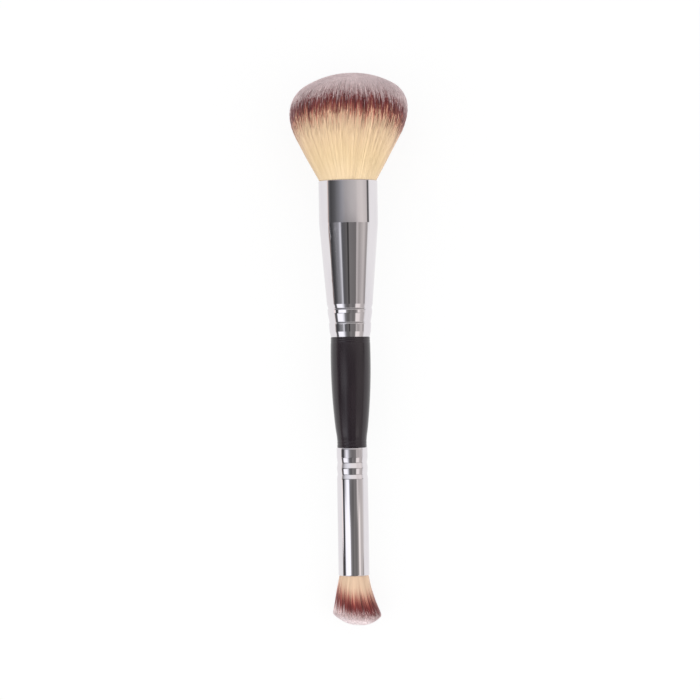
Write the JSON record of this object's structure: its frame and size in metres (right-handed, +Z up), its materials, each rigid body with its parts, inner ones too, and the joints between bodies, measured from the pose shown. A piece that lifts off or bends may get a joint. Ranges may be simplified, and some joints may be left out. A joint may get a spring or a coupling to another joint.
{
  "type": "double ended makeup brush",
  "caption": "Makeup brush with a wide domed powder head at one end and a small flat topped buffing head at the other, in crimped metal ferrules on a turned grip.",
  "frame": {"origin": "on the resting surface, at the middle of the outer box in X and Y", "axes": "+Y along the brush towards the large head (the brush axis rises 3.8 degrees towards it), +Z up, +X across the brush"},
  "size_m": [0.04, 0.1846, 0.0389],
  "materials": {
    "grip_lacquer": "matte black lacquer on turned wood",
    "ferrule_metal": "bright polished, spun and crimped",
    "glue": "clear yellowish resin, hidden in the ferrule",
    "powder_hair": "fine synthetic fibres, cream at the root with a reddish brown band and pale lilac tips",
    "buffing_hair": "dense fine synthetic fibres, cream at the root with a maroon band and pale pink tips"
  },
  "bodies": {
    "root": {"grip": "grip_lacquer", "large_ferrule": "ferrule_metal", "small_ferrule": "ferrule_metal", "large_glue_plug": "glue", "small_glue_plug": "glue", "large_head": "powder_hair", "small_head": "buffing_hair"}
  },
  "joints": []
}
